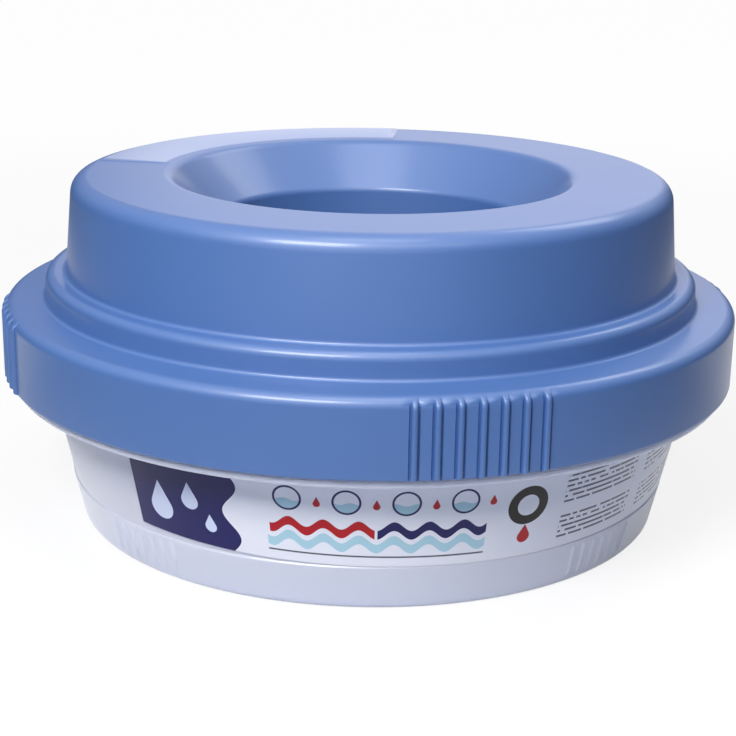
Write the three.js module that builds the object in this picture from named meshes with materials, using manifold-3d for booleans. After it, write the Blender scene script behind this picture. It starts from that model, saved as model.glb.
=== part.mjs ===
import * as THREE from 'three';
import { mergeVertices } from 'three/addons/utils/BufferGeometryUtils.js';
import Module from 'manifold-3d';

const wasm = await Module();
wasm.setup();

// Spill-proof water bowl: a bowl, a funnel insert, a flat seal and a screw lid with its own funnel.
// Lengths are in millimetres and angles in degrees. The axis is +Z and the base stands on z = 0.
// A bearing is an angle about the axis from the front (-Y) towards the right (+X).

// Shared sizes
const touchGap = 0.3; // between pieces that touch
const weldDepth = 0.8; // how far a rib or a thread reaches into the wall that carries it
const roundSides = 60; // flats round the whole circle
const roundingError = 0.2; // how far a rounding's flats may cut inside the true arc
const roundingReachShare = 0.45; // a rounding takes at most this share of either of its two edges

// Bowl
const wallDraft = 12.6;
const bowlWall = 2.2;
const bowlFloor = 2.2;
const footRise = 1.5; // the floor stands clear of the ground inside the foot ring
const footRingWidth = 11;
const baseRounding = 2;
const floorRounding = 5;
const gripZoneHeight = 17.5;
const panelDepth = 0.6; // the label's panel lies this much inside the grip zone
const shoulderHeight = 56.5;
const shoulderWidth = 13.67; // from the wall's line out to the band
const shoulderRounding = 1.2;
const bandHeight = 3.4;
const bandClearance = 0.4; // inside the line of the skirt's inner face
const neckRadius = 143.9;
const neckWall = 3.4;
const neckHeight = 25.1; // from the band up to the rim
const rimRounding = 0.6;
const seatWidth = 1.7; // the step in the rim that carries the insert

// Grip ribs low on the bowl's wall
const bowlRibGroups = 4;
const bowlRibsPerGroup = 7;
const bowlRibBearing = 46.6;
const bowlRibPitch = 5.5;
const bowlRibWidth = 1.8;
const bowlRibProud = 0.6;
const bowlRibFoot = 3;
const bowlRibHeadGap = 1; // below the grip zone's upper edge

// Screw thread: ridges on the neck, lugs inside the skirt
const threadStarts = 4;
const threadLead = 32; // rise in one whole turn
const threadDepth = 2.4;
const threadRoot = 3.2;
const threadCrest = 1.6;
const threadClearance = 1.5; // from a ridge's crest to the skirt, and from a lug's crest to the neck
const threadRise = 6.6; // from the band to the middle of a ridge's low end
const ridgeBearing = 12;
const ridgeSpan = 80;
const lugLag = 10; // from a ridge's low end to the lug's low end
const lugSpan = 35;
const threadStep = 5; // one flat along a thread
const threadTaperShare = 0.12; // the share of a thread's length that runs out at each end
const threadEndShare = 0.1; // the share of its depth that is left at the very end

// Funnel insert
const insertFlangeThickness = 2;
const insertFlangeWidth = 8;
const insertWall = 1.8;
const insertRounding = 4;
const insertThroatRadius = 50;
const insertThroatHeight = 29; // where the cone turns down into its lip
const insertLip = 4;

// Seal
const sealThickness = 2;
const sealWidth = 7.9;
const sealClearance = 1; // to the skirt
const sealStopGap = 0.5; // to the rib that holds it in place
const sealStopWidth = 1.5;
const sealStopDepth = 1.6;

// Lid. Its heights count from its ceiling, the flat underside that presses on the seal.
const lidWall = 2.2;
const skirtGap = 0.4; // from the band up to the skirt's lower edge
const skirtEdgeRounding = 0.8;
const flangeWidth = 14;
const flangeEdgeRise = 2.4;
const flangeFootRise = 4.4;
const flangeEdgeRounding = 4;
const footRounding = 1.5; // in the two hollow corners of the lid's steps
const dropLean = 2.6;
const ledgeRise = 14.7;
const ledgeWidth = 7.8;
const ledgeRounding = 2.8;
const domeLean = 3.7;
const lidRise = 51.4;
const domeRounding = 6.5;
const funnelWidth = 18.8; // from the throat out to the flat top, which takes the rest
const funnelSlope = 45.5;
const funnelRounding = 5.5;
const throatRadius = 64;
const throatRounding = 3;
const collarDrop = 2.6; // below the ceiling
const collarRounding = 0.8;
const innerRounding = 3;

// Grip ribs on the skirt
const lidRibGroups = 4;
const lidRibsPerGroup = 7;
const lidRibBearing = 15.07;
const lidRibPitch = 7.93;
const lidRibWidth = 2.6;
const lidRibProud = 1.3;
const lidRibWrap = 65; // how far a rib follows the flange's rounded edge
const lidRibWrapSteps = 2;

// Plain raised pad on the lid's flat top
const padBearing = -142.4;
const padSpan = 88.4;
const padRise = 0.5;
const padMargin = 3.7;

// Wrap label
const labelThickness = 0.3;
const labelFootGap = 0.5; // from the grip zone up to the lower edge in the label's middle
const labelEndRise = 3.6; // its ends stand this much higher
const labelHeadGap = 0.9; // from its ends up to the shoulder
const labelBearing = 24;
const labelSpan = 132;

// Sizes that follow from these
const wallSlope = Math.tan(THREE.MathUtils.degToRad(wallDraft));
const rimSeatDepth = insertFlangeThickness + touchGap;
const neckInner = neckRadius - neckWall;
const bandTop = shoulderHeight + bandHeight;
const rimHeight = bandTop + neckHeight;
const skirtInner = neckRadius + threadDepth + threadClearance;
const skirtRadius = skirtInner + lidWall;
const bandRadius = skirtInner - bandClearance;
const footRadius = bandRadius - shoulderWidth - wallSlope * shoulderHeight;
const sealHeight = rimHeight + touchGap;
const sealOuter = skirtInner - sealClearance;
const ceilingHeight = sealHeight + sealThickness + touchGap;
const skirtDepth = ceilingHeight - bandTop - skirtGap;

const material = (color, roughness, opacity = 1) =>
  new THREE.MeshStandardMaterial({ color, roughness, metalness: 0, opacity, transparent: opacity < 1 });
const lidBlue = material(0x6f8bc2, 0.38);
const clearPlastic = material(0xc3cbe4, 0.35, 0.7);
const sealGrey = material(0xb9bec8, 0.75);
const labelPaper = material(0xeef0f4, 0.5);

// Solids and meshes

function toSolid(geometry) {
  const bare = geometry.clone();
  bare.deleteAttribute('normal');
  bare.deleteAttribute('uv');
  const merged = mergeVertices(bare);
  const index = merged.index.array;
  const triangles = [];
  for (let i = 0; i < index.length; i += 3) {
    const [a, b, c] = [index[i], index[i + 1], index[i + 2]];
    if (a !== b && b !== c && c !== a) triangles.push(a, b, c);
  }
  return new wasm.Manifold(new wasm.Mesh({
    numProp: 3,
    vertProperties: new Float32Array(merged.attributes.position.array),
    triVerts: new Uint32Array(triangles),
  }));
}

function toMesh(name, solid, look) {
  const result = solid.getMesh();
  const geometry = new THREE.BufferGeometry();
  geometry.setAttribute('position', new THREE.BufferAttribute(result.vertProperties, 3));
  geometry.setIndex(new THREE.BufferAttribute(result.triVerts, 1));
  geometry.computeVertexNormals();
  const mesh = new THREE.Mesh(geometry, look);
  mesh.name = name;
  return mesh;
}

// Outlines. A corner is [distance from the axis, height, rounding].

function roundCorner(before, corner, after, rounding) {
  const toBefore = before.clone().sub(corner);
  const toAfter = after.clone().sub(corner);
  const half = toBefore.angleTo(toAfter) / 2;
  const longest = roundingReachShare * Math.min(toBefore.length(), toAfter.length());
  const reach = Math.min(rounding / Math.tan(half), longest);
  const radius = reach * Math.tan(half);
  const start = corner.clone().addScaledVector(toBefore.normalize(), reach);
  const end = corner.clone().addScaledVector(toAfter.normalize(), reach);
  const inward = toBefore.add(toAfter).normalize();
  const centre = corner.clone().addScaledVector(inward, radius / Math.sin(half));
  const turn = Math.PI - 2 * half;
  const flat = 2 * Math.acos(Math.max(0, 1 - roundingError / radius));
  const steps = Math.max(1, Math.round(turn / flat));
  const from = start.clone().sub(centre);
  const side = Math.sign(from.cross(end.clone().sub(centre)));
  return Array.from({ length: steps + 1 }, (_, i) =>
    start.clone().rotateAround(centre, side * turn * i / steps));
}

function outline(corners) {
  const points = corners.map(([radius, height]) => new THREE.Vector2(radius, height));
  const last = points.length - 1;
  return points.flatMap((point, i) => {
    const rounding = corners[i][2] ?? 0;
    if (rounding === 0) return [point];
    return roundCorner(points[i === 0 ? last : i - 1], point, points[i === last ? 0 : i + 1], rounding);
  });
}

// A ring turned from a closed outline, or a body whose outline starts and ends on the axis
function turned(corners, sides = roundSides) {
  const points = outline(corners);
  if (points[0].x > 0) points.push(points[0].clone());
  const geometry = new THREE.LatheGeometry(points, sides);
  geometry.rotateX(Math.PI / 2);
  return toSolid(geometry);
}

// Moves each point of a geometry by a function that changes it in place
function reshape(geometry, change) {
  const position = geometry.attributes.position;
  const point = new THREE.Vector3();
  for (let i = 0; i < position.count; i += 1) {
    change(point.fromBufferAttribute(position, i));
    position.setXYZ(i, point.x, point.y, point.z);
  }
  return geometry;
}

// Lays a point given as (distance from the axis, bearing in degrees, height) round the axis
function layRound(point, distance, bearing, height) {
  const angle = THREE.MathUtils.degToRad(bearing);
  return point.set(distance * Math.sin(angle), -distance * Math.cos(angle), height);
}

// Even places about a bearing: groups round the circle, ribs a pitch apart in each group
function ribBearings(groups, perGroup, bearing, pitch, radius) {
  const step = THREE.MathUtils.radToDeg(pitch / radius);
  return Array.from({ length: groups * perGroup }, (_, i) => {
    const group = Math.floor(i / perGroup);
    const place = i % perGroup - (perGroup - 1) / 2;
    return bearing + group * 360 / groups + place * step;
  });
}

// A rib: an outline in the plane through the axis, given a width across that plane
function rib(points, width) {
  const geometry = new THREE.ExtrudeGeometry(new THREE.Shape(points), { depth: width, bevelEnabled: false });
  geometry.translate(0, 0, -width / 2);
  geometry.rotateX(Math.PI / 2);
  return geometry;
}

function addRibs(body, ribGeometry, bearings) {
  return bearings.reduce((solid, bearing) => {
    const turnedRib = ribGeometry.clone().rotateZ(THREE.MathUtils.degToRad(bearing - 90));
    return solid.add(toSolid(turnedRib));
  }, body);
}

// One thread of the screw. Root and crest are distances from the axis. It climbs as the bearing grows.
function thread(root, crest, height, bearing, span) {
  const towardsWall = Math.sign(root - crest) * weldDepth;
  const section = new THREE.Shape([
    new THREE.Vector2(root + towardsWall, -threadRoot / 2),
    new THREE.Vector2(root + towardsWall, threadRoot / 2),
    new THREE.Vector2(root, threadRoot / 2),
    new THREE.Vector2(crest, threadCrest / 2),
    new THREE.Vector2(crest, -threadCrest / 2),
    new THREE.Vector2(root, -threadRoot / 2),
  ]);
  const steps = Math.round(span / threadStep);
  const geometry = new THREE.ExtrudeGeometry(section, { depth: 1, steps, bevelEnabled: false });
  return toSolid(reshape(geometry, (point) => {
    const along = 1 - point.z;
    const fromEnd = Math.min(along, 1 - along);
    const full = Math.max(threadEndShare, Math.min(1, fromEnd / threadTaperShare));
    const beyondRoot = (point.x - root) * Math.sign(crest - root) > 0;
    const distance = beyondRoot ? root + (point.x - root) * full : point.x;
    layRound(point, distance, bearing + along * span, height + point.y + threadLead * along * span / 360);
  }));
}

function addThreads(body, root, crest, height, bearing, span) {
  let solid = body;
  for (let i = 0; i < threadStarts; i += 1) {
    solid = solid.add(thread(root, crest, height, bearing + i * 360 / threadStarts, span));
  }
  return solid;
}

// Bowl

const wallRadius = (height) => footRadius + wallSlope * height;
const panelRadius = (height) => wallRadius(height) - panelDepth;
const innerWallRadius = (height) => panelRadius(height) - bowlWall;

function bowlBody() {
  const floorTop = footRise + bowlFloor;
  const shoulderTop = shoulderHeight + bowlWall;
  const seatHeight = rimHeight - rimSeatDepth;
  const footInner = footRadius - footRingWidth;
  return turned([
    [0, footRise],
    [footInner, footRise],
    [footInner, 0],
    [footRadius, 0, baseRounding],
    [wallRadius(gripZoneHeight), gripZoneHeight],
    [panelRadius(gripZoneHeight), gripZoneHeight],
    [panelRadius(shoulderHeight), shoulderHeight, shoulderRounding],
    [bandRadius, shoulderHeight, shoulderRounding],
    [bandRadius, bandTop, shoulderRounding],
    [neckRadius, bandTop, rimRounding],
    [neckRadius, rimHeight, rimRounding],
    [neckInner + seatWidth, rimHeight],
    [neckInner + seatWidth, seatHeight],
    [neckInner, seatHeight],
    [neckInner, shoulderTop, shoulderRounding],
    [innerWallRadius(shoulderTop), shoulderTop, shoulderRounding],
    [innerWallRadius(floorTop), floorTop, floorRounding],
    [0, floorTop],
  ]);
}

function bowlRib() {
  const head = gripZoneHeight - bowlRibHeadGap;
  const deep = Math.min(weldDepth, bowlWall / 2);
  return rib([
    new THREE.Vector2(wallRadius(bowlRibFoot) - deep, bowlRibFoot),
    new THREE.Vector2(wallRadius(bowlRibFoot) + bowlRibProud, bowlRibFoot + bowlRibProud),
    new THREE.Vector2(wallRadius(head) + bowlRibProud, head - bowlRibProud),
    new THREE.Vector2(wallRadius(head) - deep, head),
  ], bowlRibWidth);
}

function makeBowl() {
  const bearings = ribBearings(bowlRibGroups, bowlRibsPerGroup, bowlRibBearing, bowlRibPitch, footRadius);
  const ribbed = addRibs(bowlBody(), bowlRib(), bearings);
  const ridgeHeight = bandTop + threadRise;
  const ridgeCrest = neckRadius + threadDepth;
  const solid = addThreads(ribbed, neckRadius, ridgeCrest, ridgeHeight, ridgeBearing, ridgeSpan);
  return toMesh('bowl', solid, clearPlastic);
}

// Funnel insert, built down from the underside of its flange

function makeInsert() {
  const outer = neckInner + seatWidth - touchGap;
  const flangeInner = outer - insertFlangeWidth;
  const underside = rimHeight - rimSeatDepth + touchGap;
  const lipTop = insertThroatHeight - underside;
  const lipOuter = insertThroatRadius + insertWall;
  const steepness = (insertFlangeThickness - lipTop) / (flangeInner - insertThroatRadius);
  const coneDrop = insertWall * Math.hypot(1, steepness);
  const coneUnder = (radius) => insertFlangeThickness - coneDrop - (flangeInner - radius) * steepness;
  const solid = turned([
    [outer, 0, rimRounding],
    [outer, insertFlangeThickness, rimRounding],
    [flangeInner, insertFlangeThickness, insertRounding],
    [insertThroatRadius, lipTop, insertRounding],
    [insertThroatRadius, lipTop - insertLip],
    [lipOuter, lipTop - insertLip],
    [lipOuter, coneUnder(lipOuter), insertRounding],
    [flangeInner + (coneDrop - insertFlangeThickness) / steepness, 0, insertRounding],
  ]);
  const mesh = toMesh('insert_funnel', solid, clearPlastic);
  mesh.position.z = underside;
  return mesh;
}

// Seal

function makeSeal() {
  const solid = turned([
    [sealOuter, 0],
    [sealOuter, sealThickness],
    [sealOuter - sealWidth, sealThickness],
    [sealOuter - sealWidth, 0],
  ]);
  const mesh = toMesh('seal_ring', solid, sealGrey);
  mesh.position.z = sealHeight;
  return mesh;
}

// Lid, built about its ceiling

const dropFootRadius = skirtRadius - flangeWidth;
const dropTopRadius = dropFootRadius - dropLean;
const domeFootRadius = dropTopRadius - ledgeWidth;
const domeTopRadius = domeFootRadius - domeLean;
const funnelRimRadius = throatRadius + funnelWidth;

function lidBody() {
  const steepness = Math.tan(THREE.MathUtils.degToRad(funnelSlope));
  const funnelDrop = lidWall / Math.cos(THREE.MathUtils.degToRad(funnelSlope));
  const funnelTop = (radius) => lidRise - (funnelRimRadius - radius) * steepness;
  const collarOuter = throatRadius + lidWall;
  const stopOuter = sealOuter - sealWidth - sealStopGap;
  const stopInner = stopOuter - sealStopWidth;
  return turned([
    [skirtRadius, -skirtDepth, skirtEdgeRounding],
    [skirtRadius, flangeEdgeRise, flangeEdgeRounding],
    [dropFootRadius, flangeFootRise, footRounding],
    [dropTopRadius, ledgeRise, ledgeRounding],
    [domeFootRadius, ledgeRise, footRounding],
    [domeTopRadius, lidRise, domeRounding],
    [funnelRimRadius, lidRise, funnelRounding],
    [throatRadius, funnelTop(throatRadius), throatRounding],
    [throatRadius, -collarDrop, collarRounding],
    [collarOuter, -collarDrop, collarRounding],
    [collarOuter, funnelTop(collarOuter) - funnelDrop, innerRounding],
    [funnelRimRadius + (funnelDrop - lidWall) / steepness, lidRise - lidWall, innerRounding],
    [domeTopRadius - lidWall, lidRise - lidWall, domeRounding - lidWall],
    [domeFootRadius - lidWall, ledgeRise - lidWall, innerRounding],
    [dropTopRadius - lidWall, ledgeRise - lidWall, footRounding],
    [dropFootRadius - lidWall, 0, footRounding],
    [stopInner, 0],
    [stopInner, -sealStopDepth],
    [stopOuter, -sealStopDepth],
    [stopOuter, 0],
    [skirtInner, 0],
    [skirtInner, -skirtDepth, skirtEdgeRounding],
  ]);
}

// The skirt rib follows the skirt and then part of the flange's rounded edge
function lidRib() {
  const centre = new THREE.Vector2(skirtRadius - flangeEdgeRounding, flangeEdgeRise - flangeEdgeRounding);
  const ribRadius = flangeEdgeRounding + lidRibProud;
  const points = [
    new THREE.Vector2(skirtRadius - weldDepth, -skirtDepth),
    new THREE.Vector2(skirtRadius + lidRibProud, -skirtDepth),
  ];
  for (let i = 0; i <= lidRibWrapSteps; i += 1) {
    const turn = THREE.MathUtils.degToRad(lidRibWrap * i / lidRibWrapSteps);
    points.push(new THREE.Vector2(ribRadius * Math.cos(turn), ribRadius * Math.sin(turn)).add(centre));
  }
  points.push(new THREE.Vector2(skirtRadius - flangeEdgeRounding, flangeEdgeRise - weldDepth));
  points.push(new THREE.Vector2(skirtRadius - weldDepth, flangeEdgeRise - flangeEdgeRounding + weldDepth));
  return rib(points, lidRibWidth);
}

function pad() {
  const inner = funnelRimRadius + padMargin;
  const outer = domeTopRadius - domeRounding;
  const from = THREE.MathUtils.degToRad(padBearing - padSpan / 2 - 90);
  const to = THREE.MathUtils.degToRad(padBearing + padSpan / 2 - 90);
  const shape = new THREE.Shape();
  shape.absarc(0, 0, outer, from, to, false);
  shape.absarc(0, 0, inner, to, from, true);
  const geometry = new THREE.ExtrudeGeometry(shape, {
    depth: padRise + weldDepth,
    bevelEnabled: false,
    curveSegments: Math.round(roundSides * padSpan / 360),
  });
  geometry.translate(0, 0, lidRise - weldDepth);
  return toSolid(geometry);
}

function makeLid() {
  const bearings = ribBearings(lidRibGroups, lidRibsPerGroup, lidRibBearing, lidRibPitch, skirtRadius);
  const ribbed = addRibs(lidBody(), lidRib(), bearings).add(pad());
  const ridgeHeight = bandTop + threadRise - ceilingHeight;
  const underRidge = (threadRoot + threadCrest) / 2 + touchGap;
  const lugHeight = ridgeHeight + threadLead * lugLag / 360 - underRidge;
  const lugCrest = neckRadius + threadClearance;
  const solid = addThreads(ribbed, skirtInner, lugCrest, lugHeight, ridgeBearing + lugLag, lugSpan);
  const mesh = toMesh('lid', solid, lidBlue);
  mesh.position.z = ceilingHeight;
  return mesh;
}

// Label, a thin strip laid on the panel

function makeLabel() {
  const foot = gripZoneHeight + labelFootGap;
  const labelHeight = shoulderHeight - labelHeadGap - labelEndRise - foot;
  const strips = Math.round(roundSides * labelSpan / 360);
  const geometry = new THREE.BoxGeometry(1, 1, 1, 1, strips, 1);
  reshape(geometry, (point) => {
    const rise = labelEndRise * (2 * point.y) ** 2;
    const height = foot + rise + (point.z + 1 / 2) * labelHeight;
    const off = touchGap + (point.x + 1 / 2) * labelThickness;
    layRound(point, panelRadius(height) + off, labelBearing + point.y * labelSpan, height);
  });
  return toMesh('label', toSolid(geometry), labelPaper);
}

const group = new THREE.Group();
group.add(makeBowl(), makeLabel(), makeInsert(), makeSeal(), makeLid());

export default group;
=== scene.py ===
import math

import bmesh
import bpy
import numpy as np
from mathutils import Matrix, Vector


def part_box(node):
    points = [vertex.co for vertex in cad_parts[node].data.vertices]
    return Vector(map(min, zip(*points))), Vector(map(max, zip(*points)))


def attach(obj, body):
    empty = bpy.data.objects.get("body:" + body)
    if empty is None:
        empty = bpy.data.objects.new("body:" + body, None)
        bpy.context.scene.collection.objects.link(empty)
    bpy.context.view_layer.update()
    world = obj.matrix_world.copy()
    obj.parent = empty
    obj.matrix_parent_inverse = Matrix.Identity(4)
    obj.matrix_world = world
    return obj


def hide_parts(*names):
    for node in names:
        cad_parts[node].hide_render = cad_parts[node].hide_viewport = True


# Spill-proof water bowl: fine surfaces, finishes, floor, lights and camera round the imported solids.
# Lengths are in metres and angles in degrees. The axis is +Z and the bowl stands on z = 0.
# A bearing is an angle about the axis from the front (-Y) towards the right (+X).

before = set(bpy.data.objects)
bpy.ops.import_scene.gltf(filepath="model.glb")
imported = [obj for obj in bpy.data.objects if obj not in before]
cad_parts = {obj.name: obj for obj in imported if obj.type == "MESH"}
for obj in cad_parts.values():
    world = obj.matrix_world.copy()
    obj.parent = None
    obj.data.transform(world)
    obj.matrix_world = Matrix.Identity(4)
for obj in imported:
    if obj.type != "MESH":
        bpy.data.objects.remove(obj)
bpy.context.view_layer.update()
mm = 0.001

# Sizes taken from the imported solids
bowl_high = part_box("bowl")[1]
insert_low, insert_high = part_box("insert_funnel")
seal_low, seal_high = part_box("seal_ring")
lid_low, lid_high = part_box("lid")

band_radius = bowl_high.x
rim_height = bowl_high.z
skirt_foot = lid_low.z
seal_outer = seal_high.x
insert_outer = insert_high.x

# Sizes that the pieces share
touch_gap = 0.3 * mm
lid_wall = 2.2 * mm
band_clearance = 0.4 * mm
neck_radius = 143.9 * mm
neck_wall = 3.4 * mm
insert_flange_thickness = 2 * mm
skirt_inner = band_radius + band_clearance
skirt_radius = skirt_inner + lid_wall
ceiling_height = seal_high.z + touch_gap

# Fineness of the surfaces
even_columns = 180
flat_error = 0.03 * mm  # how far the flats of a rounding may cut inside the true arc
edge_loop = 0.5 * mm  # a row this near to each rounding keeps the flat stretch beside it flat
reach_share = 0.45  # a rounding takes at most this share of either of its two edges
loop_share = 0.04
sharp_angle = 38
bearing_digits = 6
tiny = 1e-9  # a distance that counts as none
weld_distance = 1e-6


# Outlines. A corner is (distance from the axis, height, rounding, mark); the last two may be left out.
# A rounding of None is for a point on a straight stretch, which doesn't limit the roundings beside it.

def round_corner(before, corner, after, rounding):
    """The points of a rounded corner, with one more close by on each of its two edges."""
    to_before, to_after = before - corner, after - corner
    half = to_before.angle(to_after) / 2
    reach = min(rounding / math.tan(half), reach_share * min(to_before.length, to_after.length))
    radius = reach * math.tan(half)
    towards_before, towards_after = to_before.normalized(), to_after.normalized()
    inward = (towards_before + towards_after).normalized()
    centre = corner + inward * radius / math.sin(half)
    start = corner + towards_before * reach
    end = corner + towards_after * reach
    turn = math.pi - 2 * half
    steps = max(2, math.ceil(turn / (2 * math.acos(1 - min(flat_error / radius, 1)))))
    spoke = start - centre
    side = math.copysign(1, spoke.cross(end - centre))
    arc = [centre + Matrix.Rotation(side * turn * i / steps, 2) @ spoke for i in range(steps + 1)]
    lead_in = start + towards_before * min(edge_loop, loop_share * to_before.length)
    lead_out = end + towards_after * min(edge_loop, loop_share * to_after.length)
    return [lead_in, *arc, lead_out]


def outline(corners):
    """The points of a closed outline as an array, and the rows at which each mark stands."""
    spots = [Vector(corner[:2]) for corner in corners]
    turning = [len(corner) < 3 or corner[2] is not None for corner in corners]
    points, marks = [], {}

    def neighbour(i, step):
        i = (i + step) % len(corners)
        return spots[i] if turning[i] else neighbour(i, step)

    for i, corner in enumerate(corners):
        rounding = corner[2] if len(corner) > 2 else 0
        if rounding:
            arc = round_corner(neighbour(i, -1), spots[i], neighbour(i, 1), rounding)
        else:
            arc = [spots[i]]
        if len(corner) > 3:
            marks.setdefault(corner[3], []).extend(range(len(points), len(points) + len(arc)))
        points.extend(arc)
    return np.array(points), marks


def outward(points):
    """The unit vector out of the material at each point of an outline that runs up its outer side."""
    along = np.roll(points, -1, axis=0) - np.roll(points, 1, axis=0)
    normal = np.stack([along[:, 1], -along[:, 0]], axis=1)
    return normal / np.maximum(np.linalg.norm(normal, axis=1, keepdims=True), tiny)


def smooth(share):
    """A soft step from 0 to 1 as share goes from 0 to 1."""
    held = np.clip(share, 0, 1)
    return held * held * (3 - 2 * held)


# Columns: the bearings at which a skin has its sections

def columns(*features):
    """Even bearings all round, with each feature's own bearings in place of the even ones that it covers."""
    even = np.arange(even_columns) * 360 / even_columns
    quarter_step = 360 / even_columns / 4
    for feature in features:
        middle, half = (feature[0] + feature[-1]) / 2, (feature[-1] - feature[0]) / 2
        off = np.abs((even - middle + 180) % 360 - 180)
        even = even[off > half + quarter_step]
    return np.unique(np.round(np.concatenate([even, *features]) % 360, bearing_digits))


def group_bearings(groups, per_group, bearing, pitch, radius):
    """Even places about a bearing: groups round the circle, ribs a pitch apart in each group."""
    step = math.degrees(pitch / radius)
    places = (np.arange(per_group) - (per_group - 1) / 2) * step
    return [bearing + group * 360 / groups + place for group in range(groups) for place in places]


# A rib's round back: where its columns stand across it, as shares of its half width
rib_column_shares = (0, 0.42, 0.74, 0.93, 1)


def rib_columns(centres, radius, half_width, beside):
    """Bearings across each rib, and at each distance beside its back."""
    across = np.concatenate([half_width * np.array(rib_column_shares), half_width + np.array(beside)])
    offsets = np.degrees(np.concatenate([-across[:0:-1], across]) / radius)
    return [centre + offsets for centre in centres]


def across_ribs(bearings, centres, radius):
    """How far round the surface each bearing is from the middle of the nearest rib."""
    off = np.abs((bearings[:, None] - np.array(centres)[None, :] + 180) % 360 - 180).min(axis=1)
    return np.radians(off) * radius


def rib_back(across, half_width, proud, fullness=2.0):
    """How far a rib's back stands proud: an ellipse, or squarer than one where the fullness is over 2."""
    return proud * np.clip(1 - (across / half_width) ** fullness, 0, 1) ** (1 / fullness)


# Skins: closed meshes with one section at each bearing

def skin_mesh(name, sections, bearings, whole_round=True):
    """A mesh through sections of the shape (bearings, rows, 2). Sections run up their outer side."""
    angles = np.radians(bearings)[:, None]
    distance, height = sections[..., 0], sections[..., 1]
    spots = np.stack([distance * np.sin(angles), -distance * np.cos(angles), height], axis=-1)
    count, rows = distance.shape
    on_axis = distance[0, 0] < tiny
    column = np.arange(count if whole_round else count - 1)[:, None]
    row = np.arange(rows - 1 if on_axis else rows)[None, :]
    next_column, next_row = (column + 1) % count, (row + 1) % rows
    faces = np.stack([column * rows + row, next_column * rows + row,
                      next_column * rows + next_row, column * rows + next_row], axis=-1)
    faces = faces.reshape(-1, 4).tolist()
    if not whole_round:
        faces.append(list(range(rows))[::-1])
        faces.append([(count - 1) * rows + i for i in range(rows)])
    mesh = bpy.data.meshes.new(name)
    mesh.from_pydata(spots.reshape(-1, 3).tolist(), [], faces)
    if on_axis:
        weld_axis(mesh)
    mesh.polygons.foreach_set("use_smooth", [True] * len(mesh.polygons))
    mesh.set_sharp_from_angle(angle=math.radians(sharp_angle))
    mesh.update()
    return mesh


def weld_axis(mesh):
    """Joins the points that the sections share on the axis."""
    work = bmesh.new()
    work.from_mesh(mesh)
    middle = [v for v in work.verts if math.hypot(v.co.x, v.co.y) < tiny]
    bmesh.ops.remove_doubles(work, verts=middle, dist=weld_distance)
    work.to_mesh(mesh)
    work.free()


def add_piece(name, mesh, material, body, node):
    """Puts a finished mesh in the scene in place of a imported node."""
    piece = bpy.data.objects.new(name, mesh)
    bpy.context.scene.collection.objects.link(piece)
    mesh.materials.append(material)
    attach(piece, body)
    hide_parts(node)


# Screw thread: ridges on the neck and lugs inside the skirt
thread_starts = 4
thread_lead = 32 * mm
thread_depth = 2.4 * mm
thread_root = 3.2 * mm
thread_crest = 1.6 * mm
thread_clearance = 1.5 * mm
thread_rise = 6.6 * mm
ridge_bearing = 12
ridge_span = 80
lug_lag = 10
lug_span = 35
thread_taper_share = 0.12
# A thread's section: places as shares of half the root, heights as shares of the depth
thread_place_shares = np.array([-1.12, -1, -0.6, -0.45, 0.45, 0.6, 1, 1.12])
thread_height_shares = np.array([0, 0.05, 0.92, 1, 1, 0.92, 0.05, 0])


def thread_corners(distance, middle, mark, downwards=False):
    """The rows of a thread as corners of an outline, before lay_thread moves them."""
    places = thread_place_shares[::-1] if downwards else thread_place_shares
    return [(distance, middle + place * thread_root / 2, None, mark) for place in places]


def lay_thread(sections, rows, bearings, middle, bearing, span, depth, downwards=False):
    """Moves a thread's rows up along its helix and out to its depth, at each bearing."""
    pitch = 360 / thread_starts
    along = (bearings - bearing) % pitch / span
    beyond = (pitch / span - along) / (pitch / span - 1)
    climb = thread_lead * span / 360 * np.where(along <= 1, along, beyond)
    share = smooth(np.minimum(along, 1 - along) / thread_taper_share)
    heights = thread_height_shares[::-1] if downwards else thread_height_shares
    sections[:, rows, 0] += depth * share[:, None] * heights[None, :]
    sections[:, rows, 1] += climb[:, None]


# Bowl
wall_draft = 12.6
bowl_wall = 2.2 * mm
bowl_floor = 2.2 * mm
foot_rise = 1.5 * mm
foot_ring_width = 11 * mm
base_rounding = 2 * mm
floor_rounding = 5 * mm
grip_zone_height = 17.5 * mm
panel_depth = 0.6 * mm
panel_step_rise = 0.7 * mm
shoulder_height = 56.5 * mm
shoulder_width = 13.67 * mm
shoulder_rounding = 1.2 * mm
band_height = 3.4 * mm
fine_rounding = 0.3 * mm
rim_rounding = 0.6 * mm
seat_width = 1.7 * mm

bowl_rib_groups = 4
bowl_ribs_per_group = 7
bowl_rib_bearing = 46.6
bowl_rib_pitch = 5.5 * mm
bowl_rib_half_width = 0.9 * mm
bowl_rib_proud = 0.8 * mm
bowl_rib_foot_rounding = 0.3 * mm
bowl_rib_low = 3 * mm
bowl_rib_head_gap = 1 * mm
bowl_rib_run_out = 1.2 * mm

wall_slope = math.tan(math.radians(wall_draft))
foot_radius = band_radius - shoulder_width - wall_slope * shoulder_height
band_top = shoulder_height + band_height
neck_inner = neck_radius - neck_wall
ridge_height = band_top + thread_rise


def wall_radius(height):
    return foot_radius + wall_slope * height


def panel_radius(height):
    return wall_radius(height) - panel_depth


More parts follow.
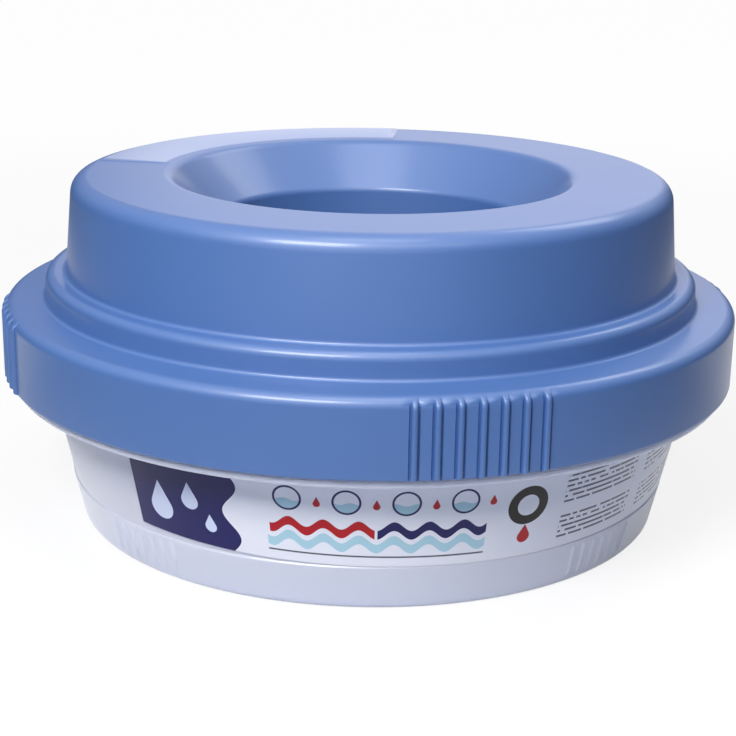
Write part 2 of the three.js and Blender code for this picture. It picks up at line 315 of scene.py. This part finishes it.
def bowl_mesh():
    floor_top = foot_rise + bowl_floor
    shoulder_top = shoulder_height + bowl_wall
    foot_inner = foot_radius - foot_ring_width
    seat_height = rim_height - insert_flange_thickness - touch_gap
    seat_radius = neck_inner + seat_width
    rib_low_rows = bowl_rib_low + bowl_rib_run_out
    rib_head = grip_zone_height - bowl_rib_head_gap
    rib_high_rows = rib_head - bowl_rib_run_out
    step_top = grip_zone_height + panel_step_rise
    points, marks = outline([
        (0, foot_rise),
        (foot_inner, foot_rise, rim_rounding),
        (foot_inner, 0, fine_rounding),
        (foot_radius, 0, base_rounding),
        (wall_radius(bowl_rib_low), bowl_rib_low, None),
        (wall_radius(rib_low_rows), rib_low_rows, None, "rib"),
        (wall_radius(rib_high_rows), rib_high_rows, None, "rib"),
        (wall_radius(rib_head), rib_head, None),
        (wall_radius(grip_zone_height), grip_zone_height, fine_rounding),
        (panel_radius(step_top), step_top, fine_rounding),
        (panel_radius(shoulder_height), shoulder_height, shoulder_rounding),
        (band_radius, shoulder_height, shoulder_rounding),
        (band_radius, band_top, shoulder_rounding),
        (neck_radius, band_top, rim_rounding),
        *thread_corners(neck_radius, ridge_height, "ridge"),
        (neck_radius, rim_height, rim_rounding),
        (seat_radius, rim_height, fine_rounding),
        (seat_radius, seat_height, fine_rounding),
        (neck_inner, seat_height, fine_rounding),
        (neck_inner, shoulder_top, shoulder_rounding),
        (panel_radius(shoulder_top) - bowl_wall, shoulder_top, shoulder_rounding),
        (panel_radius(floor_top) - bowl_wall, floor_top, floor_rounding),
        (0, floor_top),
    ])
    ribs = group_bearings(bowl_rib_groups, bowl_ribs_per_group, bowl_rib_bearing, bowl_rib_pitch,
                          foot_radius)
    foot = bowl_rib_foot_rounding
    bearings = columns(*rib_columns(ribs, foot_radius, bowl_rib_half_width, (foot / 3, foot)))
    sections = np.repeat(points[None], len(bearings), axis=0)
    across = across_ribs(bearings, ribs, foot_radius)
    # The hollow that rounds a rib's foot into the wall
    hollow = foot / 2 * np.clip(1 - (across - bowl_rib_half_width) / foot, 0, 1) ** 2
    back = np.maximum(rib_back(across, bowl_rib_half_width, bowl_rib_proud), np.minimum(hollow, foot / 2))
    rows = marks["rib"]
    sections[:, rows] += back[:, None, None] * outward(points)[rows][None]
    lay_thread(sections, marks["ridge"], bearings, ridge_height, ridge_bearing, ridge_span, thread_depth)
    return skin_mesh("bowl_moulding", sections, bearings)


# Funnel insert
insert_flange_width = 8 * mm
insert_wall = 1.8 * mm
insert_rounding = 4 * mm
insert_throat_radius = 50 * mm
insert_lip = 4 * mm


def insert_mesh():
    underside = insert_high.z - insert_flange_thickness
    lip_top = insert_low.z + insert_lip
    flange_inner = insert_outer - insert_flange_width
    lip_outer = insert_throat_radius + insert_wall
    steepness = (insert_high.z - lip_top) / (flange_inner - insert_throat_radius)
    cone_drop = insert_wall * math.hypot(1, steepness)
    cone_foot = lip_top - cone_drop + insert_wall * steepness
    points, _ = outline([
        (insert_outer, underside, rim_rounding),
        (insert_outer, insert_high.z, rim_rounding),
        (flange_inner, insert_high.z, insert_rounding),
        (insert_throat_radius, lip_top, insert_rounding),
        (insert_throat_radius, insert_low.z, rim_rounding),
        (lip_outer, insert_low.z, rim_rounding),
        (lip_outer, cone_foot, insert_rounding),
        (flange_inner + (cone_drop - insert_flange_thickness) / steepness, underside, insert_rounding),
    ])
    bearings = columns()
    sections = np.repeat(points[None], len(bearings), axis=0)
    return skin_mesh("funnel_moulding", sections, bearings)


# Seal
seal_width = 7.9 * mm


def seal_mesh():
    seal_inner = seal_outer - seal_width
    points, _ = outline([
        (seal_outer, seal_low.z, rim_rounding),
        (seal_outer, seal_high.z, rim_rounding),
        (seal_inner, seal_high.z, rim_rounding),
        (seal_inner, seal_low.z, rim_rounding),
    ])
    bearings = columns()
    sections = np.repeat(points[None], len(bearings), axis=0)
    return skin_mesh("seal_moulding", sections, bearings)


# Lid. Its heights count from its ceiling, the flat underside that presses on the seal.
skirt_edge_rounding = 0.8 * mm
flange_width = 16.2 * mm
flange_edge_rise = 2.4 * mm
flange_foot_rise = 3 * mm
flange_edge_rounding = 4 * mm
foot_rounding = 1.5 * mm
drop_lean = 0.4 * mm
ledge_rise = 13.9 * mm
ledge_fall = 0.9 * mm  # the ledge falls this much from the drop wall in to the dome
ledge_width = 8.2 * mm
ledge_rounding = 3.6 * mm
dome_lean = 3.3 * mm
dome_rounding = 6.5 * mm
funnel_width = 18.8 * mm
funnel_slope = 45.5
funnel_rounding = 5.5 * mm
throat_radius = 64 * mm
throat_rounding = 3 * mm
collar_drop = 2.6 * mm
collar_rounding = 0.8 * mm
inner_rounding = 3 * mm
seal_stop_gap = 0.5 * mm
seal_stop_width = 1.5 * mm
seal_stop_depth = 1.6 * mm

lid_rib_groups = 4
lid_ribs_per_group = 7
lid_rib_bearing = 15.07
lid_rib_pitch = 7.93 * mm
lid_rib_half_width = 1.1 * mm
lid_rib_proud = 1.3 * mm
lid_rib_fullness = 2.6
lid_groove_depth = 0.8 * mm  # the groove along each side of a rib
lid_groove_places = np.array([0.06, 0.45, 0.9]) * mm  # how far beside the rib its columns stand
lid_groove_shares = np.array([1, 0.9, 0])  # and the share of its depth that each has
lid_rib_head_gap = 1.5 * mm  # short of the end of the flange's rounded edge
lid_rib_run_out = 4.2 * mm

pad_bearing = -142.4
pad_span = 88.4
pad_rise = 0.5 * mm
pad_margin = 3.7 * mm
pad_edge = 0.6 * mm
pad_end = 1.8 * mm
pad_end_shares = np.array([0, 0.3, 0.7, 1])  # where the columns of an end stand
pad_inner_edge = 2.4 * mm

lid_rise = lid_high.z - ceiling_height - pad_rise
drop_foot_radius = skirt_radius - flange_width
drop_top_radius = drop_foot_radius - drop_lean
dome_foot_radius = drop_top_radius - ledge_width
dome_top_radius = dome_foot_radius - dome_lean
funnel_rim_radius = throat_radius + funnel_width


def lid_outline():
    steepness = math.tan(math.radians(funnel_slope))
    funnel_drop = lid_wall / math.cos(math.radians(funnel_slope))
    funnel_throat = lid_rise - funnel_width * steepness
    skirt_low = skirt_foot - ceiling_height
    collar_outer = throat_radius + lid_wall
    stop_outer = seal_outer - seal_width - seal_stop_gap
    stop_inner = stop_outer - seal_stop_width
    flange_slope = (flange_foot_rise - flange_edge_rise) / flange_width
    rib_end = 2 * flange_edge_rounding  # how far in over the flange the rows of the ribs go
    pad_outer = dome_top_radius - dome_rounding
    pad_inner = funnel_rim_radius + pad_margin
    lug_middle = ridge_height - ceiling_height + thread_lead * lug_lag / 360
    lug_middle -= (thread_root + thread_crest) / 2 + touch_gap
    corners = [
        (skirt_radius, skirt_low, skirt_edge_rounding, "rib"),
        (skirt_radius, flange_edge_rise, flange_edge_rounding, "rib"),
        (skirt_radius - rib_end, flange_edge_rise + rib_end * flange_slope, None, "rib"),
        (drop_foot_radius, flange_foot_rise, foot_rounding),
        (drop_top_radius, ledge_rise, ledge_rounding),
        (dome_foot_radius, ledge_rise - ledge_fall, foot_rounding),
        (dome_top_radius, lid_rise, dome_rounding),
        (pad_outer, lid_rise, None),
        (pad_outer - pad_edge, lid_rise, None, "pad"),
        (pad_inner + pad_inner_edge, lid_rise, None, "pad"),
        (pad_inner, lid_rise, None),
        (funnel_rim_radius, lid_rise, funnel_rounding),
        (throat_radius, funnel_throat, throat_rounding),
        (throat_radius, -collar_drop, collar_rounding),
        (collar_outer, -collar_drop, collar_rounding),
        (collar_outer, funnel_throat + lid_wall * steepness - funnel_drop, inner_rounding),
        (funnel_rim_radius + (funnel_drop - lid_wall) / steepness, lid_rise - lid_wall, inner_rounding),
        (dome_top_radius - lid_wall, lid_rise - lid_wall, dome_rounding - lid_wall),
        (dome_foot_radius - lid_wall, ledge_rise - ledge_fall - lid_wall, inner_rounding),
        (drop_top_radius - lid_wall, ledge_rise - lid_wall, foot_rounding),
        (drop_foot_radius - lid_wall, 0, foot_rounding),
        (stop_inner, 0, fine_rounding),
        (stop_inner, -seal_stop_depth, fine_rounding),
        (stop_outer, -seal_stop_depth, fine_rounding),
        (stop_outer, 0, fine_rounding),
        (skirt_inner, 0, fine_rounding),
        *thread_corners(skirt_inner, lug_middle, "lug", downwards=True),
        (skirt_inner, skirt_low, skirt_edge_rounding),
    ]
    return outline(corners)


def lid_rib_weights(points, rows):
    """The share of a rib's height at each row: it rounds off at the skirt's foot and runs out on top."""
    steps = np.linalg.norm(np.diff(points[rows], axis=0), axis=1)
    along = np.concatenate([[0], np.cumsum(steps)])
    flange_edge = np.pi / 2 * flange_edge_rounding
    skirt_length = flange_edge_rise - flange_edge_rounding - (skirt_foot - ceiling_height)
    end = skirt_length + flange_edge - lid_rib_head_gap
    run_out = smooth((end - along) / lid_rib_run_out)
    facing_out = np.where(along < skirt_edge_rounding * 2, outward(points)[rows, 0], 1)
    return run_out * np.clip(facing_out, 0, 1)


def lid_mesh():
    points, marks = lid_outline()
    ribs = group_bearings(lid_rib_groups, lid_ribs_per_group, lid_rib_bearing, lid_rib_pitch, skirt_radius)
    pad_step = math.degrees(pad_end / funnel_rim_radius)
    pad_ends = [pad_bearing - pad_span / 2, pad_bearing + pad_span / 2]
    bearings = columns(
        *rib_columns(ribs, skirt_radius, lid_rib_half_width, lid_groove_places),
        pad_ends[0] + pad_end_shares * pad_step,
        pad_ends[1] - pad_end_shares[::-1] * pad_step,
    )
    sections = np.repeat(points[None], len(bearings), axis=0)
    rows = marks["rib"]
    across = across_ribs(bearings, ribs, skirt_radius)
    groove = np.interp(across - lid_rib_half_width, lid_groove_places, lid_groove_shares) * lid_groove_depth
    back = rib_back(across, lid_rib_half_width, lid_rib_proud, lid_rib_fullness)
    back -= np.where(across > lid_rib_half_width + lid_groove_places[0] / 2, groove, 0)
    push = outward(points)[rows] * lid_rib_weights(points, rows)[:, None]
    push[:, 1] = np.maximum(push[:, 1], 0)
    sections[:, rows] += back[:, None, None] * push[None]
    from_middle = np.abs((bearings - pad_bearing + 180) % 360 - 180)
    raised = smooth((pad_span / 2 - from_middle) / pad_step)
    sections[:, marks["pad"], 1] += pad_rise * raised[:, None]
    lay_thread(sections, marks["lug"], bearings, 0, ridge_bearing + lug_lag, lug_span,
               thread_clearance - (skirt_inner - neck_radius), downwards=True)
    sections[..., 1] += ceiling_height
    return skin_mesh("lid_moulding", sections, bearings)


# Label, a strip of coated paper on the bowl's panel
paper_thickness = 0.2 * mm
paper_gap = 0.3 * mm
label_foot_gap = 0.5 * mm
label_end_rise = 3.6 * mm
label_head_gap = 0.9 * mm
label_bearing = 24
label_span = 132
label_columns = 133
label_rows = 9


def label_mesh():
    bearings = label_bearing + np.linspace(-label_span / 2, label_span / 2, label_columns)
    foot = grip_zone_height + label_foot_gap
    height = shoulder_height - label_head_gap - label_end_rise - foot
    up = np.linspace(0, 1, label_rows)
    off = np.concatenate([np.full(label_rows, paper_gap + paper_thickness), np.full(label_rows, paper_gap)])
    rise = label_end_rise * ((bearings - label_bearing) / (label_span / 2)) ** 2
    heights = foot + rise[:, None] + np.concatenate([up, up[::-1]])[None] * height
    sections = np.stack([panel_radius(heights) + off[None], heights], axis=-1)
    mesh = skin_mesh("wrap_label", sections, bearings, whole_round=False)
    middle_radius = panel_radius(foot + height / 2)
    along = np.radians(bearings - bearings[0]) * middle_radius / mm
    across = np.concatenate([up, up[::-1]]) * height / math.cos(math.radians(wall_draft)) / mm
    places = np.stack(np.meshgrid(along, across, indexing="ij"), axis=-1).reshape(-1, 2)
    corners = np.zeros(len(mesh.loops), dtype=np.int32)
    mesh.loops.foreach_get("vertex_index", corners)
    print_map = mesh.uv_layers.new(name="print")
    print_map.data.foreach_set("uv", places[corners].astype(np.float32).ravel())
    return mesh


# Materials

class Nodes:
    """Adds and joins the nodes of one material or world."""

    def __init__(self, owner):
        owner.use_nodes = True
        self.tree = owner.node_tree
        self.tree.nodes.clear()

    def feed(self, socket, value):
        if isinstance(value, bpy.types.NodeSocket):
            self.tree.links.new(value, socket)
        else:
            socket.default_value = value

    def add(self, kind, inputs=None, **settings):
        node = self.tree.nodes.new(kind)
        for name, value in settings.items():
            setattr(node, name, value)
        for name, value in (inputs or {}).items():
            self.feed(node.inputs[name], value)
        return node

    def place(self):
        """Where a point is on its object."""
        return self.add("ShaderNodeTexCoord").outputs["Object"]

    def axes(self, vector):
        """The outputs X, Y and Z of a vector."""
        return self.add("ShaderNodeSeparateXYZ", {"Vector": vector}).outputs

    def rays(self):
        """Whether the camera sees the surface, also through glass, and whether a reflection does."""
        path = self.add("ShaderNodeLightPath").outputs
        seen = self.math("MAXIMUM", path["Is Camera Ray"], path["Is Transmission Ray"])
        return seen, path["Is Glossy Ray"]

    def math(self, operation, *values):
        node = self.add("ShaderNodeMath", operation=operation)
        for socket, value in zip(node.inputs, values):
            self.feed(socket, value)
        return node.outputs[0]

    def noise(self, where, scale, detail=2.0):
        settings = {"Vector": where, "Scale": scale, "Detail": detail}
        return self.add("ShaderNodeTexNoise", settings).outputs["Fac"]

    def ramp(self, value, start, end, low=0.0, high=1.0, soft=False):
        """A number that goes from low to high as value goes from start to end, and is level beyond them."""
        inputs = {"Value": value, "From Min": start, "From Max": end, "To Min": low, "To Max": high}
        kind = "SMOOTHSTEP" if soft else "LINEAR"
        return self.add("ShaderNodeMapRange", inputs, interpolation_type=kind).outputs["Result"]

    def between(self, share, low, high):
        """A number from low to high as share goes from 0 to 1."""
        return self.ramp(share, 0.0, 1.0, low, high)

    def blend(self, share, first, second):
        """A colour from first to second as share goes from 0 to 1."""
        node = self.add("ShaderNodeMix", data_type="RGBA")
        # The node has sockets of one name for numbers, vectors and colours: these are the colours'.
        for i, value in ((0, share), (6, first), (7, second)):
            self.feed(node.inputs[i], value)
        return node.outputs[2]

    def bump(self, height, depth, under=None):
        """Relief of a depth, laid over the relief under it."""
        inputs = {"Height": height, "Distance": depth}
        if under is not None:
            inputs["Normal"] = under
        return self.add("ShaderNodeBump", inputs).outputs[0]

    def principled(self, colour, roughness, relief, settings):
        inputs = {"Base Color": colour, "Roughness": roughness, "Normal": relief, **settings}
        return self.add("ShaderNodeBsdfPrincipled", inputs).outputs[0]

    def finish(self, shader, kind="ShaderNodeOutputMaterial"):
        self.feed(self.add(kind).inputs["Surface"], shader)


def srgb(red, green, blue):
    """A colour from 0 to 255 a channel, as a screen shows it, in Blender's linear numbers."""
    shares = [channel / 255 for channel in (red, green, blue)]
    linear = [s / 12.92 if s <= 0.04045 else ((s + 0.055) / 1.055) ** 2.4 for s in shares]
    return (*linear, 1.0)


# Moulded surfaces. Each drifts between two shades. Noise scales are waves in a metre.
lid_shades = srgb(62, 102, 164), srgb(68, 108, 169)
# The pad's paler colour is painted sheen: it stands in for the light its glossier finish reflects
painted_pad_sheen = srgb(122, 148, 198)
clear_shades = srgb(221, 225, 250), srgb(225, 229, 252)
seal_shades = srgb(178, 183, 192), srgb(188, 193, 201)
shade_scale = 14
gloss_scale, gloss_detail = 55, 4
gloss_drift = 0.03  # how far the roughness drifts either way
polished_gloss = 0.6  # the share of its roughness that a polished place keeps
pad_polish = lid_high.z - 0.35 * mm, lid_high.z - 0.15 * mm  # the heights over which the pad turns polished and takes its painted sheen
wave_scale, wave_depth = 26, 0.05 * mm
grain_scale = 1300
plastic_grain, silicone_grain = 0.004 * mm, 0.006 * mm


def moulded_plastic(name, shades, roughness, grain, settings, polish=None):
    """Moulded plastic: a fine grain from the tool, slight sink waves, and slow drift in its gloss and shade.
    Over the two heights of polish it turns glossier, as where the tool was polished, and paler, which is
    painted sheen."""
    material = bpy.data.materials.new(name)
    nodes = Nodes(material)
    where = nodes.place()
    shade = nodes.blend(nodes.noise(where, shade_scale), *shades)
    drift = nodes.between(nodes.noise(where, gloss_scale, gloss_detail), -gloss_drift, gloss_drift)
    gloss = nodes.math("ADD", drift, roughness)
    if polish:
        polished = nodes.ramp(nodes.axes(where)["Z"], *polish)
        gloss = nodes.math("MULTIPLY", gloss, nodes.between(polished, 1.0, polished_gloss))
        # Painted sheen: the pad is paler here, though the plastic is the same colour
        shade = nodes.blend(polished, shade, painted_pad_sheen)
    waves = nodes.bump(nodes.noise(where, wave_scale, 1), wave_depth)
    relief = nodes.bump(nodes.noise(where, grain_scale, 1), grain, waves)
    nodes.finish(nodes.principled(shade, gloss, relief, settings))
    return material


def lid_material():
    settings = {"Specular IOR Level": 1.0, "IOR": 1.5, "Coat Weight": 0.45, "Coat Roughness": 0.2}
    return moulded_plastic("lid_plastic", lid_shades, roughness=0.55, grain=plastic_grain,
                           settings=settings, polish=pad_polish)


def clear_material(name):
    settings = {"Transmission Weight": 0.06, "IOR": 1.5, "Specular IOR Level": 0.8, "Sheen Weight": 0.5,
                "Subsurface Weight": 0.8, "Subsurface Radius": (1.0, 1.0, 1.0), "Subsurface Scale": 6 * mm}
    return moulded_plastic(name, clear_shades, roughness=0.34, grain=plastic_grain, settings=settings)


def seal_material():
    return moulded_plastic("seal_silicone", seal_shades, roughness=0.62, grain=silicone_grain,
                           settings={"Specular IOR Level": 0.35})


class Field:
    """A number that varies over a surface. Sums with it add Math nodes."""

    def __init__(self, nodes, socket):
        self.nodes = nodes
        self.socket = socket

    def then(self, operation, *others):
        values = [other.socket if isinstance(other, Field) else other for other in others]
        return Field(self.nodes, self.nodes.math(operation, self.socket, *values))

    def __add__(self, other):
        return self.then("ADD", other)

    def __sub__(self, other):
        return self.then("SUBTRACT", other)

    def __mul__(self, other):
        return self.then("MULTIPLY", other)

    def __neg__(self):
        return self.then("MULTIPLY", -1.0)

    def size(self):
        return self.then("ABSOLUTE")

    def root(self):
        return self.then("SQRT")

    def sine(self):
        return self.then("SINE")

    def either(self, other):
        """The union of two shapes."""
        return self.then("MINIMUM", other)

    def both(self, other):
        """What two shapes share."""
        return self.then("MAXIMUM", other)

    def without(self, other):
        return self.both(-other)


# The label's print, a generic design. Its lengths are in millimetres: along from the label's left end,
# and up from its foot. A shape is a field that is below 0 inside it.
paper = srgb(240, 241, 248)
navy, red, grey = srgb(12, 12, 88), srgb(184, 10, 26), srgb(84, 86, 98)
black, water, pale = srgb(12, 11, 16), srgb(176, 214, 226), srgb(214, 222, 244)
ink_edge = 0.12  # the width over which ink meets paper

field_end = 44.0  # where the navy field's wavy edge stands
field_wave, field_swing = 0.28, 3.2  # radians a millimetre, and how far it swings
field_drops = (13, 11, 5.2), (27, 17.5, 3.6), (35, 8.5, 2.4)  # along, up, radius
field_drop_tip = 2.2  # how high a drop's tip stands, in radii

circle_count, circle_start, circle_pitch = 4, 66, 21
circle_up, circle_radius, circle_line = 27.2, 4.8, 0.4
level_up, level_wave, level_swing = 26.6, 0.8, 0.5  # the water in the circles, waved likewise
small_drop_up, small_drop_radius, small_drop_tip = 25.8, 1.3, 3.0

stripes = (78, 19, 15.6, red), (118, 20, 15.6, navy), (98, 40, 9.6, water)  # along, half length, up, ink
stripe_wave_length, stripe_swing, stripe_half_width = 12.6, 1.9, 1.9
underline = 98, 4.2, 40, 0.35  # along, up, half length, half height

ring_place = 154, 22
ring_outer, ring_inner = 8.2, 4.4
ring_drop = 154, 8.4, 2.6, 5.4  # along, up, radius, tip

dash_blocks = (190, 19, 20, 6), (190, 3.6, 20, 5), (237, 19, 19, 6), (237, 3.6, 19, 5)  # last: the lines
dash_pitch = 2.2
dash_half_height = 0.2  # in pitches
dash_length = 1.15
dash_gaps = 0.2  # the share of the dashes that are left out
dash_contrast = 2.0

# The paper's relief and gloss
fibre_scale, fibre_detail, fibre_depth = 900, 3, 0.003 * mm
ripple_scale, ripple_detail, ripple_depth = 38, 1, 0.1 * mm
paper_roughness, ink_roughness = 0.42, 0.3


def disc(along, up, x, y, radius):
    across, rise = along - x, up - y
    return (across * across + rise * rise).root() - radius


def bar(along, up, x, y, half_length, half_height):
    return ((along - x).size() - half_length).both((up - y).size() - half_height)


def drop(along, up, x, y, radius, tip):
    """A water drop: a disc with a pointed top that stands tip above its middle."""
    lean = math.asin(radius / tip)
    sides = (along - x).size() * math.cos(lean) + (up - (y + tip)) * math.sin(lean)
    head = sides.both(-(up - (y + radius * math.sin(lean))))
    return disc(along, up, x, y, radius).either(head)


def ink(shape):
    """How much of the surface a shape's ink covers, from 0 to 1."""
    return (shape * (-1 / ink_edge) + 0.5).then("MAXIMUM", 0.0).then("MINIMUM", 1.0).socket


def dashes(nodes, along, up, x, y, half_length, lines):
    """Plain grey dashes in rows, as a block of small print looks from afar."""
    rows = (up - y) * (1 / dash_pitch)
    place = nodes.add("ShaderNodeCombineXYZ", {
        "X": (along * (1 / dash_length)).then("FLOOR").socket, "Y": rows.then("FLOOR").socket})
    chance = nodes.add("ShaderNodeTexWhiteNoise", {"Vector": place.outputs[0]}, noise_dimensions="2D")
    printed = Field(nodes, chance.outputs["Value"]) * -1.0 + dash_gaps
    in_row = (rows.then("FRACT") - 0.5).size() * dash_pitch - dash_pitch * dash_half_height
    half_height = lines * dash_pitch / 2
    block = bar(along, up, x, y + half_height, half_length, half_height)
    return in_row.both(block).both(printed * dash_contrast)


def label_prints(nodes, along, up):
    """Each shape of the print with its ink, in the order in which they are laid."""
    prints = [(along - field_end - (up * field_wave).sine() * field_swing, navy)]
    for x, y, radius in field_drops:
        prints.append((drop(along, up, x, y, radius, radius * field_drop_tip), pale))
    for i in range(circle_count):
        x = circle_start + i * circle_pitch
        circle = disc(along, up, x, circle_up, circle_radius)
        level = up - level_up - (along * level_wave).sine() * level_swing
        small_drop = drop(along, up, x + circle_pitch / 2, small_drop_up, small_drop_radius, small_drop_tip)
        prints += [(circle.both(level), water), (circle.size() - circle_line, navy), (small_drop, red)]
    for x, half_length, rise, shade in stripes:
        swell = (along * (2 * math.pi / stripe_wave_length)).sine() * stripe_swing
        stripe = (up - rise - swell).size() - stripe_half_width
        prints.append((stripe.both((along - x).size() - half_length), shade))
    prints.append((bar(along, up, *underline), grey))
    ring = disc(along, up, *ring_place, ring_outer).without(disc(along, up, *ring_place, ring_inner))
    prints += [(ring, black), (drop(along, up, *ring_drop), red)]
    for block in dash_blocks:
        prints.append((dashes(nodes, along, up, *block), grey))
    return prints


def label_material():
    material = bpy.data.materials.new("label_paper")
    nodes = Nodes(material)
    print_place = nodes.axes(nodes.add("ShaderNodeUVMap", uv_map="print").outputs[0])
    along, up = Field(nodes, print_place["X"]), Field(nodes, print_place["Y"])
    colour = paper
    covered = 0.0
    for shape, shade in label_prints(nodes, along, up):
        cover = ink(shape)
        colour = nodes.blend(cover, colour, shade)
        covered = nodes.math("MAXIMUM", cover, covered)
    where = nodes.place()
    ripple = nodes.bump(nodes.noise(where, ripple_scale, ripple_detail), ripple_depth)
    relief = nodes.bump(nodes.noise(where, fibre_scale, fibre_detail), fibre_depth, ripple)
    gloss = nodes.between(covered, paper_roughness, ink_roughness)
    settings = {"Specular IOR Level": 0.3, "Coat Weight": 0.08, "Coat Roughness": 0.2}
    nodes.finish(nodes.principled(colour, gloss, relief, settings))
    return material


# Pieces
add_piece("bowl_moulding", bowl_mesh(), clear_material("bowl_plastic"), "bowl", "bowl")
add_piece("wrap_label", label_mesh(), label_material(), "bowl", "label")
add_piece("funnel_moulding", insert_mesh(), clear_material("insert_plastic"),
          "insert", "insert_funnel")
add_piece("seal_moulding", seal_mesh(), seal_material(), "seal", "seal_ring")
add_piece("lid_moulding", lid_mesh(), lid_material(), "lid", "lid")


# Floor. Part of its white is its own, so that it is as white as the background and still shows the shadow.
white = (1, 1, 1, 1)
floor_half = 3.0
floor_drop = 0.2 * mm
floor_glow_near, floor_glow_far = 0.84, 0.985  # how much of the white is its own
floor_glow_reach = 0.25, 1.1  # the distances from the bowl's axis of near and far
floor_seen = (0.93, 0.93, 0.935, 1)
floor_mirrored = (0.16, 0.18, 0.22, 1)
floor_bounced = (0.44, 0.48, 0.58, 1)
# Where reflections see the white: behind the bowl (Y) or close beside it, and not far off (distances)
shine_behind, shine_beside, shine_near = (-0.05, 0.15), (0.36, 0.22), (0.8, 0.4)


def floor_material():
    material = bpy.data.materials.new("floor_white")
    nodes = Nodes(material)
    seen, mirrored = nodes.rays()
    where = nodes.place()
    away = nodes.add("ShaderNodeVectorMath", {0: where}, operation="LENGTH").outputs["Value"]
    tint = nodes.blend(mirrored, nodes.blend(seen, floor_bounced, floor_seen), floor_mirrored)
    paint = nodes.add("ShaderNodeBsdfDiffuse", {"Color": tint}).outputs[0]
    glow = nodes.add("ShaderNodeEmission", {"Color": white, "Strength": 1.0}).outputs[0]
    own = nodes.ramp(away, *floor_glow_reach, floor_glow_near, floor_glow_far, soft=True)
    behind = nodes.ramp(nodes.axes(where)["Y"], *shine_behind, soft=True)
    beside = nodes.ramp(away, *shine_beside, soft=True)
    near = nodes.ramp(away, *shine_near, soft=True)
    bright = nodes.math("MULTIPLY", nodes.math("MAXIMUM", behind, beside), near)
    shine = nodes.math("MULTIPLY", mirrored, bright)
    share = nodes.math("ADD", nodes.math("MULTIPLY", seen, own), shine)
    nodes.finish(nodes.add("ShaderNodeMixShader", {0: share, 1: paint, 2: glow}).outputs[0])
    return material


def add_floor():
    mesh = bpy.data.meshes.new("floor")
    corners = [(x * floor_half, y * floor_half, -floor_drop) for x, y in ((-1, -1), (1, -1), (1, 1), (-1, 1))]
    mesh.from_pydata(corners, [], [(0, 1, 2, 3)])
    floor = bpy.data.objects.new("floor", mesh)
    bpy.context.scene.collection.objects.link(floor)
    mesh.materials.append(floor_material())


# The room as reflections show it. A level is from 0 for black to 1 for white. An edge is where a wall
# starts and where it has its full level: 1 is straight behind the bowl and -1 straight before it.
room_dark = 0.04
room_back, room_back_edge = 1.3, (0.955, 0.99)
room_front, room_front_edge = 1.0, (-0.7, -0.95)
room_ceiling, room_ceiling_edge = 1.0, (0.05, 0.8)  # this edge is a height, from 0 level to 1 overhead
back_bearing = 176  # the middle of the wall behind the bowl
room_tint = (0.92, 0.9, 1, 1)


def add_world():
    world = bpy.data.worlds.new("studio")
    bpy.context.scene.world = world
    nodes = Nodes(world)
    seen, mirrored = nodes.rays()
    direction = nodes.axes(nodes.add("ShaderNodeTexCoord").outputs["Generated"])
    flat = nodes.math("SQRT", nodes.math("ADD", nodes.math("MULTIPLY", direction["X"], direction["X"]),
                                         nodes.math("MULTIPLY", direction["Y"], direction["Y"])))
    turn = math.radians(back_bearing)
    towards_back = nodes.math("SUBTRACT", nodes.math("MULTIPLY", direction["X"], math.sin(turn)),
                              nodes.math("MULTIPLY", direction["Y"], math.cos(turn)))
    behind = nodes.math("DIVIDE", towards_back, flat)
    back = nodes.ramp(behind, *room_back_edge, high=room_back, soft=True)
    front = nodes.ramp(behind, *room_front_edge, high=room_front, soft=True)
    ceiling = nodes.ramp(direction["Z"], *room_ceiling_edge, high=room_ceiling)
    bright = nodes.math("MAXIMUM", nodes.math("MAXIMUM", back, front), ceiling)
    around = nodes.math("ADD", nodes.math("MULTIPLY", mirrored, bright), room_dark)
    tint = nodes.blend(seen, room_tint, white)
    strength = nodes.math("MAXIMUM", seen, around)
    light = nodes.add("ShaderNodeBackground", {"Color": tint, "Strength": strength}).outputs[0]
    nodes.finish(light, "ShaderNodeOutputWorld")


# Lamps: bearing, elevation, distance, width, height and level
softboxes = {
    "key": (-24, 42, 1.6, 0.7, 0.46, 1.0),
    "front": (26, 42, 1.6, 0.8, 0.2, 0.08),
    "overhead": (0, 76, 1.2, 0.5, 0.5, 0.24),
    "right_back": (138, 46, 1.5, 0.7, 0.5, 0.2),
}


def add_softbox(name, bearing, elevation, distance, width, height, level):
    """A soft lamp aimed at the bowl. Level 1 lights a facing surface so that its colour shows as written."""
    lamp = bpy.data.lights.new(name, "AREA")
    lamp.shape = "RECTANGLE"
    lamp.size, lamp.size_y = width, height
    lamp.energy = level * math.pi ** 2 * distance ** 2
    box = bpy.data.objects.new(name, lamp)
    bpy.context.scene.collection.objects.link(box)
    turn, rise = math.radians(bearing), math.radians(elevation)
    towards = Vector((math.sin(turn) * math.cos(rise), -math.cos(turn) * math.cos(rise), math.sin(rise)))
    box.location = Vector((0, 0, rim_height)) + towards * distance
    box.rotation_mode = "QUATERNION"
    box.rotation_quaternion = (-towards).to_track_quat("-Z", "Y")


def add_camera():
    camera_place = Vector((0, -674.27, 260.68)) * mm
    lens, sensor = 81.06, 36
    tilt, yaw, roll = -16.974, -0.039, 0.915
    data = bpy.data.cameras.new("camera")
    data.lens, data.sensor_width = lens, sensor
    camera = bpy.data.objects.new("camera", data)
    bpy.context.scene.collection.objects.link(camera)
    turned = Matrix.Rotation(math.radians(-yaw), 4, "Z") @ Matrix.Rotation(math.radians(90 + tilt), 4, "X")
    placed = Matrix.Translation(camera_place) @ turned
    camera.matrix_world = placed @ Matrix.Rotation(math.radians(roll), 4, "Z")
    bpy.context.scene.camera = camera


add_floor()
add_world()
for lamp_name, lamp_settings in softboxes.items():
    add_softbox(lamp_name, *lamp_settings)
add_camera()
bpy.context.scene.view_settings.view_transform = "Standard"
